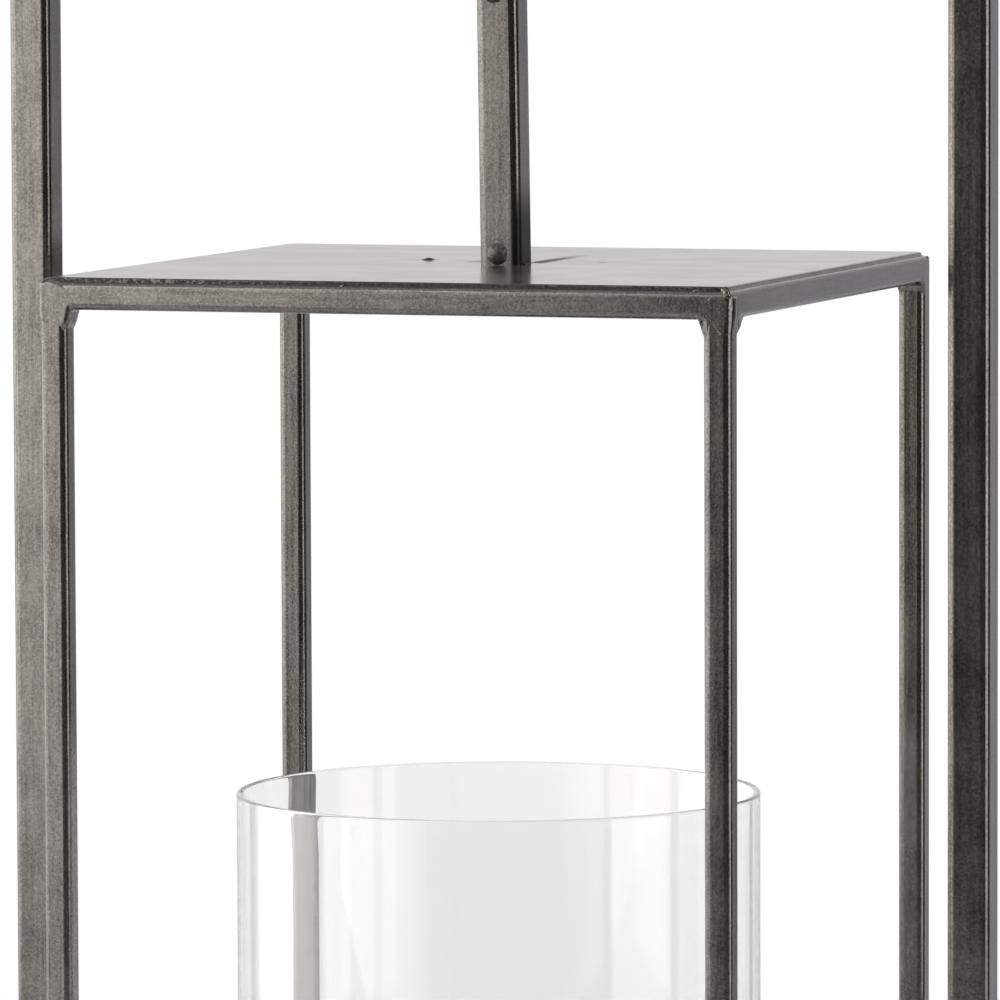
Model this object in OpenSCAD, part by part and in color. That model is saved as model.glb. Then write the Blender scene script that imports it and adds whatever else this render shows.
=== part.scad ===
// Hurricane candle lantern.
// A square welded cage of slim tube holds a glass cylinder and a pillar candle. A tall flat hoop of heavier
// tube stands round the cage, passes under it, and carries its top plate by a short riveted hanger tube.
// Millimetres, +Z up. The origin is on the floor, under the middle of the cage. The front faces -Y.

/* [Cage] */
// Outside width and depth of the square cage
cage_side = 267.3; // [240:0.1:300]
// Height of the top plate's upper face above the floor
cage_height = 532; // [480:1:600]
// Side of the cage's square tube
cage_tube = 10.5; // [9:0.1:13]
// Wall of the cage tube
cage_wall = 1.2; // [0.9:0.1:1.4]
// Rounding of the cage tube's long edges
cage_edge = 2.7; // [2.2:0.1:3.2]
// Radius of the cage's ground top corners, seen from each side
ground_corner = 3.5; // [2:0.5:4.5]

/* [Plates] */
// Thickness of the top plate and the base plate
plate_thickness = 1.5; // [1:0.1:3]
// Distance from the cage's outer face in to each plate's edge
plate_inset = 2.5; // [1.5:0.5:5]
// Distance of each plug weld on the top plate from the middle, to the side
plug_weld_x = 35; // [25:1:60]
// Distance of the plug welds behind the middle of the top plate
plug_weld_y = 23; // [0:1:60]
// Diameter of each plug weld
plug_weld_diameter = 5.6; // [4:0.1:8]
// Height of each plug weld above the plate
plug_weld_height = 0.8; // [0.5:0.1:1.5]

/* [Hoop] */
// Side of the hoop's and the hanger's square tube
hoop_tube = 16.4; // [15:0.1:22]
// Wall of the hoop and hanger tube
hoop_wall = 1.5; // [1:0.1:1.8]
// Rounding of the hoop and hanger tube's long edges
hoop_edge = 3.2; // [2.6:0.1:3.6]
// Gap between the cage and each hoop post
hoop_gap = 45.6; // [30:0.1:70]

/* [Hanger] */
// Distance between the two rivets of the hanger
rivet_spacing = 99; // [80:1:140]
// Distance from each rivet to the near end of the hanger tube
rivet_to_end = 4.2; // [4.2:0.1:8]
// Distance of the hanger's foot to the right of the plate's middle
hanger_offset = 3.8; // [-10:0.1:10]
// Lean of the hanger's top to the left, in degrees
hanger_lean = 0.7; // [0:0.1:1]
// Diameter of the rivets' domed heads
rivet_head = 8.2; // [7:0.1:8.4]
// Height of the rivets' domed heads
rivet_dome = 2.8; // [2:0.1:3.5]
// Diameter of the rivets' shanks
rivet_shank = 5; // [3:0.5:5]
// Room between each shank and its bore, all round
rivet_clearance = 0.05; // [0.05:0.05:0.1]
// Height of the two blocks that the hanger tube is riveted to
lug_height = 18; // [12:1:30]
// Room between each block and the inside of the hanger tube, on each side
lug_clearance = 0.4; // [0.4:0.1:1]

/* [Glass] */
// Outside diameter of the glass cylinder
glass_diameter = 200; // [150:1:205]
// Height of the glass cylinder
glass_height = 300; // [250:1:380]
// Wall of the glass cylinder
glass_wall = 2; // [1.5:0.1:4]
// Gap under the glass and the candle, where they stand on the base plate
seat_gap = 0.2; // [0.1:0.1:0.3]

/* [Glass tabs] */
// Width of the four tabs that keep the glass in place
tab_width = 14; // [8:1:24]
// Height of the tabs
tab_height = 10; // [6:1:20]
// Length of each tab's foot on the base plate
tab_foot = 9; // [6:1:14]
// Thickness of the tabs
tab_thickness = 1.5; // [1:0.1:2]
// Gap between the glass and each tab
tab_clearance = 1; // [0.5:0.1:2]

/* [Candle] */
// Diameter of the pillar candle
candle_diameter = 100; // [60:1:120]
// Height of the pillar candle
candle_height = 150; // [80:1:180]
// Rounding of the candle's top rim
candle_edge = 3; // [1:0.5:5]
// Radius of the shallow dish that burning leaves in the candle's top
candle_dish_radius = 160; // [120:5:300]
// Diameter of the wick
wick_diameter = 2.6; // [1.6:0.2:4]
// Length of wick that stands out of the candle
wick_length = 10; // [5:1:15]
// Length of wick that is modelled inside the candle
wick_depth = 12; // [8:1:20]
// Room between the wick and its hole, all round
wick_clearance = 0.05; // [0.05:0.05:0.1]

/* [Welds] */
// Drop of each corner fillet down or up the cage's posts
fillet_drop = 4.8; // [2:0.2:8]
// Run of each corner fillet along the front and back rails
fillet_run_front = 2; // [1:0.2:6]
// Run of each corner fillet along the side rails
fillet_run_side = 6; // [2:0.2:8]
// Side of the fillet welds where the hoop passes under the cage
crossing_weld = 2.4; // [2:0.2:5]

/* [Feet] */
// Thickness of the glides under the cage's posts
foot_height = 2.3; // [2:0.1:8]
// Length of each glide's plug inside its post
foot_plug = 12; // [6:1:20]
// Room between a glide's plug and the post, on each side
foot_clearance = 0.1; // [0.1:0.05:0.3]

/* [Hidden] */
$fn = 48;

// Overlap of cutting shapes past the faces they cut
cut = 1;
// Smallest rounding inside a tube, and of what fits into it
inner_edge = 0.3;

half_cage = cage_side / 2;
post_place = half_cage - cage_tube / 2;
top_rail_top = cage_height - plate_thickness;
top_rail_bottom = top_rail_top - cage_tube;
hoop_bottom = foot_height;
bottom_rail_bottom = hoop_bottom + hoop_tube;
base_plate_bottom = bottom_rail_bottom + cage_tube;
base_top = base_plate_bottom + plate_thickness;
plate_side = cage_side - 2 * plate_inset;
rail_between_posts = cage_side - 2 * cage_tube;

hoop_width = cage_side + 2 * (hoop_gap + hoop_tube);
hoop_post_place = (hoop_width - hoop_tube) / 2;
hanger_length = rivet_spacing + 2 * rivet_to_end;
hoop_rail_bottom = cage_height + hanger_length;
hoop_top = hoop_rail_bottom + hoop_tube;

lug_side = hoop_tube - 2 * (hoop_wall + lug_clearance);
lug_edge = max(hoop_edge - hoop_wall - lug_clearance, inner_edge);
glass_radius = glass_diameter / 2;
tab_place = glass_radius + tab_clearance;
rivet_bore_length = 2 * hoop_tube;

// ---- outlines and tubes ----

module rounded_outline(width, height, edge) {
    square([width - 2 * edge, height], center = true);
    square([width, height - 2 * edge], center = true);
    for (x = [-1, 1], y = [-1, 1])
        translate([x * (width / 2 - edge), y * (height / 2 - edge)])
            circle(edge);
}

module tube_outline(side, wall, edge) {
    inside = side - 2 * wall;
    difference() {
        rounded_outline(side, side, edge);
        rounded_outline(inside, inside, max(edge - wall, inner_edge));
    }
}

// A tube that stands on the plane z = 0
module upright_tube(length, side, wall, edge) {
    linear_extrude(length)
        tube_outline(side, wall, edge);
}

// A tube along X, centred on the origin
module level_tube(length, side, wall, edge) {
    rotate([0, 90, 0])
        translate([0, 0, -length / 2])
            upright_tube(length, side, wall, edge);
}

// ---- hoop ----

// The wedge between the hoop's two mitre planes, for a rail at the bottom of a frame of this width
module mitre_wedge(width, depth) {
    reach = width / 2;
    polygon([[-reach, 0], [reach, 0], [reach - depth, depth], [-reach + depth, depth]]);
}

module hoop_rail() {
    color("dimgray")
        intersection() {
            translate([0, 0, hoop_tube / 2])
                level_tube(hoop_width, hoop_tube, hoop_wall, hoop_edge);
            rotate([90, 0, 0])
                translate([0, 0, -hoop_tube])
                    linear_extrude(2 * hoop_tube)
                        mitre_wedge(hoop_width, hoop_tube);
        }
}

module hoop_bottom_rail() {
    translate([0, 0, hoop_bottom])
        hoop_rail();
}

module hoop_top_rail() {
    translate([0, 0, hoop_top])
        mirror([0, 0, 1])
            hoop_rail();
}

// side is -1 for the left post and 1 for the right
module hoop_post(side) {
    outer = side * hoop_width / 2;
    inner = outer - side * hoop_tube;
    color("gray")
        intersection() {
            translate([side * hoop_post_place, 0, hoop_bottom])
                upright_tube(hoop_top - hoop_bottom, hoop_tube, hoop_wall, hoop_edge);
            rotate([90, 0, 0])
                translate([0, 0, -hoop_tube])
                    linear_extrude(2 * hoop_tube)
                        polygon([
                            [outer, hoop_bottom], [inner, hoop_bottom + hoop_tube],
                            [inner, hoop_rail_bottom], [outer, hoop_top]
                        ]);
        }
}

// Fillet welds beside the hoop's bottom rail, under the cage's left and right bottom rails.
// Each fills the corner over the tube's rounded edge.
module hoop_crossing_welds() {
    bead = cage_tube - 2 * cage_edge;
    throat = hoop_edge / 2;
    color("dimgray")
        for (x = [-1, 1], y = [-1, 1])
            translate([x * post_place - bead / 2, 0, bottom_rail_bottom])
                rotate([90, 0, 90])
                    linear_extrude(bead)
                        scale([y, 1])
                            difference() {
                                translate([hoop_tube / 2, 0])
                                    polygon([
                                        [-throat, 0], [crossing_weld, 0],
                                        [0, -crossing_weld], [-throat, -crossing_weld]
                                    ]);
                                translate([0, -hoop_tube / 2])
                                    rounded_outline(hoop_tube, hoop_tube, hoop_edge);
                            }
}

// ---- hanger ----

// Carries its children, drawn round the z axis from z = 0, to the hanger's foot, and leans them
module at_hanger() {
    translate([hanger_offset, 0, cage_height])
        rotate([0, -hanger_lean, 0])
            children();
}

// What lies between the top plate and the hoop's top rail
module hanger_space() {
    translate([hanger_offset, 0, cage_height + hanger_length / 2])
        cube([3 * hoop_tube, 3 * hoop_tube, hanger_length], center = true);
}

module rivet_bore() {
    rotate([90, 0, 0])
        cylinder(d = rivet_shank + 2 * rivet_clearance, h = rivet_bore_length, center = true);
}

module hanger_tube() {
    color("gray")
        intersection() {
            at_hanger()
                difference() {
                    translate([0, 0, -cut])
                        upright_tube(hanger_length + 2 * cut, hoop_tube, hoop_wall, hoop_edge);
                    for (z = [rivet_to_end, rivet_to_end + rivet_spacing])
                        translate([0, 0, z])
                            rivet_bore();
                }
            hanger_space();
        }
}

// A block inside the hanger tube, from z = foot upwards, bored for the rivet at z = bore
module hanger_block(foot, bore) {
    color("slategray")
        intersection() {
            at_hanger()
                difference() {
                    translate([0, 0, foot - cut])
                        linear_extrude(lug_height + 2 * cut)
                            rounded_outline(lug_side, lug_side, lug_edge);
                    translate([0, 0, bore])
                        rivet_bore();
                }
            hanger_space();
            translate([hanger_offset, 0, cage_height + foot + lug_height / 2])
                cube([3 * hoop_tube, 3 * hoop_tube, lug_height], center = true);
        }
}

module hanger_lower_block() {
    hanger_block(0, rivet_to_end);
}

module hanger_upper_block() {
    hanger_block(hanger_length - lug_height, rivet_to_end + rivet_spacing);
}

// The cap of a sphere, this wide across its flat face, which lies on z = 0
module domed_head(width, height) {
    radius = (pow(width / 2, 2) + pow(height, 2)) / (2 * height);
    intersection() {
        translate([0, 0, height - radius])
            sphere(radius, $fn = 180);
        cylinder(d = 2 * width, h = 2 * height);
    }
}

module hanger_rivet(height) {
    color("darkgray")
        at_hanger()
            translate([0, 0, height]) {
                rotate([90, 0, 0])
                    cylinder(d = rivet_shank, h = hoop_tube, center = true);
                for (turn = [0, 180])
                    rotate([0, 0, turn])
                        translate([0, -hoop_tube / 2, 0])
                            rotate([90, 0, 0])
                                domed_head(rivet_head, rivet_dome);
            }
}

module hanger_lower_rivet() {
    hanger_rivet(rivet_to_end);
}

module hanger_upper_rivet() {
    hanger_rivet(rivet_to_end + rivet_spacing);
}

// ---- cage ----

// x and y are -1 or 1 and pick the corner
module cage_post(x, y) {
    color("gray")
        translate([x * post_place, y * post_place, foot_height])
            upright_tube(top_rail_bottom - foot_height, cage_tube, cage_wall, cage_edge);
}

// The space inside the cage's rounded corners and its ground top corners
module ground_block() {
    intersection() {
        linear_extrude(2 * cage_height)
            rounded_outline(cage_side, cage_side, cage_edge);
        for (turn = [0, 90])
            rotate([0, 0, turn])
                rotate([90, 0, 0])
                    translate([0, top_rail_top - cage_side / 2, -cage_side])
                        linear_extrude(2 * cage_side)
                            rounded_outline(cage_side, cage_side, ground_corner);
    }
}

// The mitred rail over the posts on one side, turned this many degrees from the front
module top_rail(turn) {
    color("gray")
        rotate([0, 0, turn])
            intersection() {
                translate([0, -post_place, top_rail_top - cage_tube / 2])
                    level_tube(cage_side, cage_tube, cage_wall, cage_edge);
                translate([0, -half_cage, top_rail_bottom - cut])
                    linear_extrude(cage_tube + 2 * cut)
                        mitre_wedge(cage_side, cage_tube);
                ground_block();
            }
}

// The rail between two posts on one side, at the base, turned this many degrees from the front
module bottom_rail(turn) {
    color("gray")
        rotate([0, 0, turn])
            translate([0, -post_place, bottom_rail_bottom + cage_tube / 2])
                level_tube(rail_between_posts, cage_tube, cage_wall, cage_edge);
}

module plate(bottom) {
    translate([0, 0, bottom])
        linear_extrude(plate_thickness)
            rounded_outline(plate_side, plate_side, ground_corner);
}

module top_plate() {
    color("silver")
        plate(top_rail_top);
}

module top_plate_plug_welds() {
    color("dimgray")
        for (x = [-1, 1])
            translate([x * plug_weld_x, plug_weld_y, cage_height])
                domed_head(plug_weld_diameter, plug_weld_height);
}

// The base plate lies on the bottom rails, inside the four posts
module base_plate() {
    color("silver")
        difference() {
            plate(base_plate_bottom);
            for (x = [-1, 1], y = [-1, 1])
                translate([x * half_cage, y * half_cage, base_plate_bottom + plate_thickness / 2])
                    cube([2 * cage_tube, 2 * cage_tube, plate_thickness + 2 * cut], center = true);
        }
}

// One fillet in the corner between a post's inner face and a rail, for a rail that runs along X.
// up is 1 where the post rises from the rail and -1 where it hangs below it.
module corner_fillet(run, up) {
    width = cage_tube - 2 * cage_edge;
    translate([0, width / 2, 0])
        rotate([90, 0, 0])
            linear_extrude(width)
                polygon([[0, 0], [-run, 0], [0, up * fillet_drop]]);
}

module corner_weld_fillets() {
    color("dimgray")
        for (turn = [0:90:270], end = [0, 1])
            rotate([0, 0, turn])
                mirror([end, 0, 0])
                    translate([rail_between_posts / 2, -post_place, 0]) {
                        run = turn % 180 == 0 ? fillet_run_front : fillet_run_side;
                        translate([0, 0, top_rail_bottom])
                            corner_fillet(run, -1);
                        translate([0, 0, bottom_rail_bottom])
                            corner_fillet(run, -1);
                    }
}

// Four L-shaped tabs on the base plate, on the diagonals just outside the glass
module glass_tabs() {
    color("dimgray")
        for (turn = [45:90:315])
            rotate([0, 0, turn])
                translate([tab_place, tab_width / 2, base_top])
                    rotate([90, 0, 0])
                        linear_extrude(tab_width)
                            polygon([
                                [0, 0], [tab_foot, 0], [tab_foot, tab_thickness],
                                [tab_thickness, tab_thickness], [tab_thickness, tab_height], [0, tab_height]
                            ]);
}

module foot_glides() {
    plug = cage_tube - 2 * (cage_wall + foot_clearance);
    plug_edge = max(cage_edge - cage_wall - foot_clearance, inner_edge);
    color("black")
        for (x = [-1, 1], y = [-1, 1])
            translate([x * post_place, y * post_place, 0]) {
                linear_extrude(foot_height)
                    rounded_outline(cage_tube, cage_tube, cage_edge);
                linear_extrude(foot_height + foot_plug)
                    rounded_outline(plug, plug, plug_edge);
            }
}

// ---- glass and candle ----

module glass_cylinder() {
    lip = glass_wall / 2;
    color("lightcyan", 0.35)
        translate([0, 0, base_top + seat_gap])
            rotate_extrude($fn = 180)
                translate([glass_radius - lip, 0]) {
                    translate([-lip, lip])
                        square([glass_wall, glass_height - glass_wall]);
                    for (z = [lip, glass_height - lip])
                        translate([0, z])
                            circle(lip);
                }
}

module candle() {
    radius = candle_diameter / 2;
    color("ivory")
        translate([0, 0, base_top + seat_gap])
            difference() {
                rotate_extrude($fn = 120) {
                    square([radius, candle_height - candle_edge]);
                    square([radius - candle_edge, candle_height]);
                    intersection() {
                        translate([radius - candle_edge, candle_height - candle_edge])
                            circle(candle_edge);
                        square([radius, candle_height]);
                    }
                }
                // The dish reaches the inner edge of the rounded rim
                translate([0, 0, candle_height + candle_dish_radius - candle_dish_depth()])
                    sphere(candle_dish_radius, $fn = 120);
                translate([0, 0, candle_height - wick_depth - candle_dish_depth()])
                    cylinder(d = wick_diameter + 2 * wick_clearance, h = 2 * wick_depth);
            }
}

function candle_dish_depth() =
    candle_dish_radius - sqrt(pow(candle_dish_radius, 2) - pow(candle_diameter / 2 - candle_edge, 2));

module wick() {
    color("black")
        translate([0, 0, base_top + seat_gap + candle_height - wick_depth - candle_dish_depth()])
            cylinder(d = wick_diameter, h = wick_depth + wick_length);
}

hoop_post(-1);  // hoop_post_left
hoop_post(1);  // hoop_post_right
hoop_top_rail();
hoop_bottom_rail();
hoop_crossing_welds();
hanger_tube();
hanger_lower_block();
hanger_upper_block();
hanger_lower_rivet();
hanger_upper_rivet();
cage_post(-1, -1);  // cage_post_front_left
cage_post(1, -1);  // cage_post_front_right
cage_post(-1, 1);  // cage_post_back_left
cage_post(1, 1);  // cage_post_back_right
top_rail(0);  // top_rail_front
top_rail(180);  // top_rail_back
top_rail(270);  // top_rail_left
top_rail(90);  // top_rail_right
bottom_rail(0);  // bottom_rail_front
bottom_rail(180);  // bottom_rail_back
bottom_rail(270);  // bottom_rail_left
bottom_rail(90);  // bottom_rail_right
top_plate();
top_plate_plug_welds();
base_plate();
corner_weld_fillets();
glass_tabs();
foot_glides();
glass_cylinder();
candle();
wick();
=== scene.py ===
import math

import bpy
import numpy as np
from mathutils import Matrix, Vector


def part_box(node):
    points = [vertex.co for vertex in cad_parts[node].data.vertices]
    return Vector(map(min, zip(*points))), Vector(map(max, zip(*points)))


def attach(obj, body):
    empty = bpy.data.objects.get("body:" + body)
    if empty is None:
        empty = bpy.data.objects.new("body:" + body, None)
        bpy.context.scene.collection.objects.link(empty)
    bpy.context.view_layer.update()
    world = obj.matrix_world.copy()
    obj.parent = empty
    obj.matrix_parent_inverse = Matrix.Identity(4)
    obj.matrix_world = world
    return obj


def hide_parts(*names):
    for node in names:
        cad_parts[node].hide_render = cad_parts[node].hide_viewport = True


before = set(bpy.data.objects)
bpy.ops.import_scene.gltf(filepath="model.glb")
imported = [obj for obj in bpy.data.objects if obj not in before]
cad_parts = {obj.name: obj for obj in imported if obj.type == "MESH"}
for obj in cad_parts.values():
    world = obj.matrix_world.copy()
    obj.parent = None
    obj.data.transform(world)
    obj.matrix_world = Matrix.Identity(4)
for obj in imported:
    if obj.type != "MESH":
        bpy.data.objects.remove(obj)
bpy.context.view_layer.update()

MM = 0.001

# ---- sizes in millimetres, read from the CAD nodes where their boxes tell them ----


def node_box(node):
    """The low and the high corner of a CAD node's box, in millimetres."""
    low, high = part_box(node)
    return np.array(low) / MM, np.array(high) / MM


POST_LOW, POST_HIGH = node_box("cage_post_front_right")
HALF_CAGE = POST_HIGH[0]
CAGE_TUBE = POST_HIGH[0] - POST_LOW[0]
POST_PLACE = HALF_CAGE - CAGE_TUBE / 2
RAIL_BOTTOM, RAIL_TOP = (b[2] for b in node_box("top_rail_front"))
BASE_RAIL_BOTTOM, BASE_RAIL_TOP = (b[2] for b in node_box("bottom_rail_front"))
PLATE_LOW, PLATE_HIGH = node_box("top_plate")
HOOP_LOW, HOOP_HIGH = node_box("hoop_post_left")
HOOP_TUBE = HOOP_HIGH[0] - HOOP_LOW[0]
GLASS_LOW, GLASS_HIGH = node_box("glass_cylinder")
CANDLE_LOW, CANDLE_HIGH = node_box("candle")
WICK_LOW, WICK_HIGH = node_box("wick")
# radius of the cage tube's long edges, and of the ground corners of the cage's top
CAGE_EDGE = 2.7
GROUND_CORNER = 3.5
# how far right of the middle the hanger's foot stands
HANGER_FOOT_X = 3.8
# how far left of their CAD boxes' middles the rivet domes sit
RIVET_SHIFT = 0.8
# the plug welds' middles, at both sides
PLUG_WELD_X, PLUG_WELD_Y = 35.0, 23.0

# ---- camera, floor and light: places in metres, the lens and its film in millimetres ----

CAMERA_PLACE = (1.01064, -2.99632, 0.69527)
CAMERA_RIGHT = (0.94773561, 0.31903676, -0.00357115)
CAMERA_UP = (-0.02209207, 0.07678483, 0.9968029)
CAMERA_LENS, CAMERA_FILM = 300.0, 36.0
# how light the floor is, and between which distances from the object it turns plain white
FLOOR_GREY, FLOOR_FADE = 0.9, (0.55, 1.3)
FLOOR_RADIUS = 1.6

# the white backdrop lies this way, and its edge is soft between the angles with these cosines
BACKDROP_WAY = (-0.574, 0.819, 0.0)
BACKDROP_EDGE = (0.10, 0.32)
# the z of the directions between which it brightens at the horizon and dims overhead, and the x
# between which it brightens from right to left
HORIZON, OVERHEAD, BRIGHT_SIDE = (-0.05, 0.04), (0.20, 0.60), (0.22, -0.12)
# how bright the backdrop is above the horizon, below it and overhead
BACKDROP_HIGH = (1.0, 0.985, 0.97, 1.0)
BACKDROP_LOW = (0.58, 0.57, 0.60, 1.0)
BACKDROP_TOP = (0.50, 0.49, 0.48, 1.0)
# the rest of the studio: its dark side, its ceiling and the z of the directions between which that
# begins, and what rays through glass see instead
STUDIO_DARK = (0.04, 0.04, 0.04, 1.0)
STUDIO_CEILING, CEILING_EDGE = (1.05, 1.02, 0.98, 1.0), (0.66, 0.82)
GLASS_AHEAD = (0.80, 0.80, 0.81, 1.0)
# the lamps dim from the height KNEE down to FOOT, in metres, by this power
KNEE, FOOT, DIMMING = 0.80, -0.2, 0.38
WARM = (1.0, 0.955, 0.89)
SOFTBOXES = (
    # name, centre, what it faces, width, height, radiance, share of the width that fades, colour
    ("front_left_softbox", (-1.18, -1.50, 1.25), (-1.18, 0.0, 1.25), 1.74, 2.50, 3.25, 0.26, WARM),
    ("left_softbox", (-1.60, -0.30, 0.85), (0.0, 0.0, 0.85), 2.00, 1.70, 3.6, 0.05, WARM),
    ("right_softbox", (1.60, -0.20, 0.80), (0.0, 0.0, 0.80), 0.90, 1.60, 3.7, 0.20, WARM),
)


def add_camera():
    data = bpy.data.cameras.new("camera")
    data.lens = CAMERA_LENS
    data.sensor_width = CAMERA_FILM
    camera = bpy.data.objects.new("camera", data)
    right, up = Vector(CAMERA_RIGHT), Vector(CAMERA_UP)
    turn = Matrix((right, up, right.cross(up))).transposed()
    camera.matrix_world = Matrix.Translation(CAMERA_PLACE) @ turn.to_4x4()
    bpy.context.scene.collection.objects.link(camera)
    bpy.context.scene.camera = camera


class Tree:
    """A node tree under construction, with short calls for the nodes that this scene uses."""

    def __init__(self, tree):
        self.tree = tree
        tree.nodes.clear()

    def add(self, kind, **settings):
        node = self.tree.nodes.new(kind)
        for name, value in settings.items():
            setattr(node, name, value)
        return node

    def feed(self, socket, value):
        if isinstance(value, bpy.types.NodeSocket):
            self.tree.links.new(value, socket)
        else:
            socket.default_value = value

    def place(self, stretch=(1, 1, 1)):
        """Place on the object, in metres, stretched for textures that run along a piece."""
        coordinates = self.add("ShaderNodeTexCoord").outputs["Object"]
        mapping = self.add("ShaderNodeMapping")
        self.feed(mapping.inputs["Vector"], coordinates)
        self.feed(mapping.inputs["Scale"], stretch)
        return mapping.outputs["Vector"]

    def noise(self, vector, scale, detail=2.0, rough=0.5):
        node = self.add("ShaderNodeTexNoise")
        self.feed(node.inputs["Vector"], vector)
        for name, value in (("Scale", scale), ("Detail", detail), ("Roughness", rough)):
            self.feed(node.inputs[name], value)
        return node.outputs["Fac"]

    def remap(self, value, low, high, to_low=0.0, to_high=1.0, smooth=False):
        node = self.add("ShaderNodeMapRange")
        node.interpolation_type = "SMOOTHSTEP" if smooth else "LINEAR"
        ranges = (value, low, high, to_low, to_high)
        for socket, number in zip(node.inputs, ranges):
            self.feed(socket, number)
        return node.outputs["Result"]

    def maths(self, operation, first, second=0.0):
        node = self.add("ShaderNodeMath", operation=operation)
        self.feed(node.inputs[0], first)
        self.feed(node.inputs[1], second)
        return node.outputs[0]

    def split(self, vector):
        """The vector's parts, under the names X, Y and Z."""
        node = self.add("ShaderNodeSeparateXYZ")
        self.feed(node.inputs[0], vector)
        return node.outputs

    def weigh(self, *pairs):
        """The sum of values, each times its weight."""
        parts = [self.maths("MULTIPLY", value, weight) for value, weight in pairs]
        total = parts[0]
        for part in parts[1:]:
            total = self.maths("ADD", total, part)
        return total

    def mix(self, share, first, second):
        node = self.add("ShaderNodeMix", data_type="RGBA")
        self.feed(node.inputs["Factor"], share)
        self.feed(node.inputs["A"], first)
        self.feed(node.inputs["B"], second)
        return node.outputs["Result"]

    def ramp(self, value, stops):
        node = self.add("ShaderNodeValToRGB")
        self.feed(node.inputs[0], value)
        elements = node.color_ramp.elements
        while len(elements) < len(stops):
            elements.new(0.5)
        for element, (place, colour) in zip(elements, stops):
            element.position = place
            element.color = colour
        return node.outputs["Color"]

    def bump(self, height, distance, strength=1.0, below=None):
        node = self.add("ShaderNodeBump")
        self.feed(node.inputs["Height"], height)
        self.feed(node.inputs["Distance"], distance)
        self.feed(node.inputs["Strength"], strength)
        if below is not None:
            self.feed(node.inputs["Normal"], below)
        return node.outputs["Normal"]

    def principled(self, **sockets):
        shader = self.add("ShaderNodeBsdfPrincipled")
        for name, value in sockets.items():
            self.feed(shader.inputs[name.replace("_", " ")], value)
        return shader.outputs[0]

    def surface(self, shader):
        output = self.add("ShaderNodeOutputMaterial")
        self.tree.links.new(shader, output.inputs["Surface"])


def add_softbox(name, centre, target, width, height, radiance, fade, colour):
    """A rectangular lamp of this radiance above KNEE, that fades towards its foot and its right."""
    left_ramp, right_power = 0.05, 0.5
    data = bpy.data.lights.new(name, "AREA")
    data.shape = "RECTANGLE"
    data.size, data.size_y = width, height
    data.energy = math.pi * width * height
    data.use_nodes = True
    tree = Tree(data.node_tree)
    geometry = tree.add("ShaderNodeNewGeometry").outputs
    across = tree.split(geometry["Parametric"])["X"]
    upward = tree.split(geometry["Position"])["Z"]
    left = tree.remap(across, 0.0, left_ramp)
    right = tree.maths("POWER", tree.remap(across, 1.0, 1.0 - fade), right_power)
    sides = tree.maths("MULTIPLY", left, right)
    rise = tree.maths("POWER", tree.remap(upward, FOOT, KNEE), DIMMING)
    level = tree.maths("MULTIPLY", rise, radiance)
    emission = tree.add("ShaderNodeEmission")
    tree.feed(emission.inputs["Color"], (*colour, 1.0))
    tree.feed(emission.inputs["Strength"], tree.maths("MULTIPLY", level, sides))
    output = tree.add("ShaderNodeOutputLight")
    tree.feed(output.inputs[0], emission.outputs[0])
    lamp = bpy.data.objects.new(name, data)
    lamp.location = centre
    lamp.rotation_mode = "QUATERNION"
    lamp.rotation_quaternion = (Vector(target) - Vector(centre)).to_track_quat("-Z", "Y")
    lamp.visible_camera = False
    bpy.context.scene.collection.objects.link(lamp)


def new_material(name):
    """An empty material and its tree."""
    material = bpy.data.materials.new(name)
    material.use_nodes = True
    return material, Tree(material.node_tree)


def grey(level, red=1.0, blue=1.0):
    """A grey of this level, with a tint from its shares of red and blue."""
    return (level * red, level, level * blue, 1.0)


def add_world():
    """A studio that is white behind the object and to its left, dim in front and pale overhead."""
    world = bpy.data.worlds.new("studio")
    world.use_nodes = True
    bpy.context.scene.world = world
    tree = Tree(world.node_tree)
    direction = tree.add("ShaderNodeTexCoord").outputs["Generated"]
    towards = tree.add("ShaderNodeVectorMath", operation="DOT_PRODUCT")
    tree.feed(towards.inputs[0], direction)
    tree.feed(towards.inputs[1], BACKDROP_WAY)
    behind = tree.remap(towards.outputs["Value"], *BACKDROP_EDGE, smooth=True)
    parts = tree.split(direction)
    above = tree.remap(parts["Z"], *HORIZON, smooth=True)
    # to the right the backdrop stays as dim as below the horizon
    above = tree.maths("MULTIPLY", above, tree.remap(parts["X"], *BRIGHT_SIDE, smooth=True))
    path = tree.add("ShaderNodeLightPath")
    through = tree.maths("MAXIMUM", above, path.outputs["Is Transmission Ray"])
    backdrop = tree.mix(through, BACKDROP_LOW, BACKDROP_HIGH)
    overhead = tree.remap(parts["Z"], *OVERHEAD, smooth=True)
    backdrop = tree.mix(overhead, backdrop, BACKDROP_TOP)
    ceiling = tree.remap(parts["Z"], *CEILING_EDGE, smooth=True)
    ahead = tree.mix(ceiling, STUDIO_DARK, STUDIO_CEILING)
    ahead = tree.mix(path.outputs["Is Transmission Ray"], ahead, GLASS_AHEAD)
    colour = tree.mix(behind, ahead, backdrop)
    colour = tree.mix(path.outputs["Is Camera Ray"], colour, (1, 1, 1, 1))
    background = tree.add("ShaderNodeBackground")
    tree.feed(background.inputs["Color"], colour)
    output = tree.add("ShaderNodeOutputWorld")
    tree.feed(output.inputs["Surface"], background.outputs[0])


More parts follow.
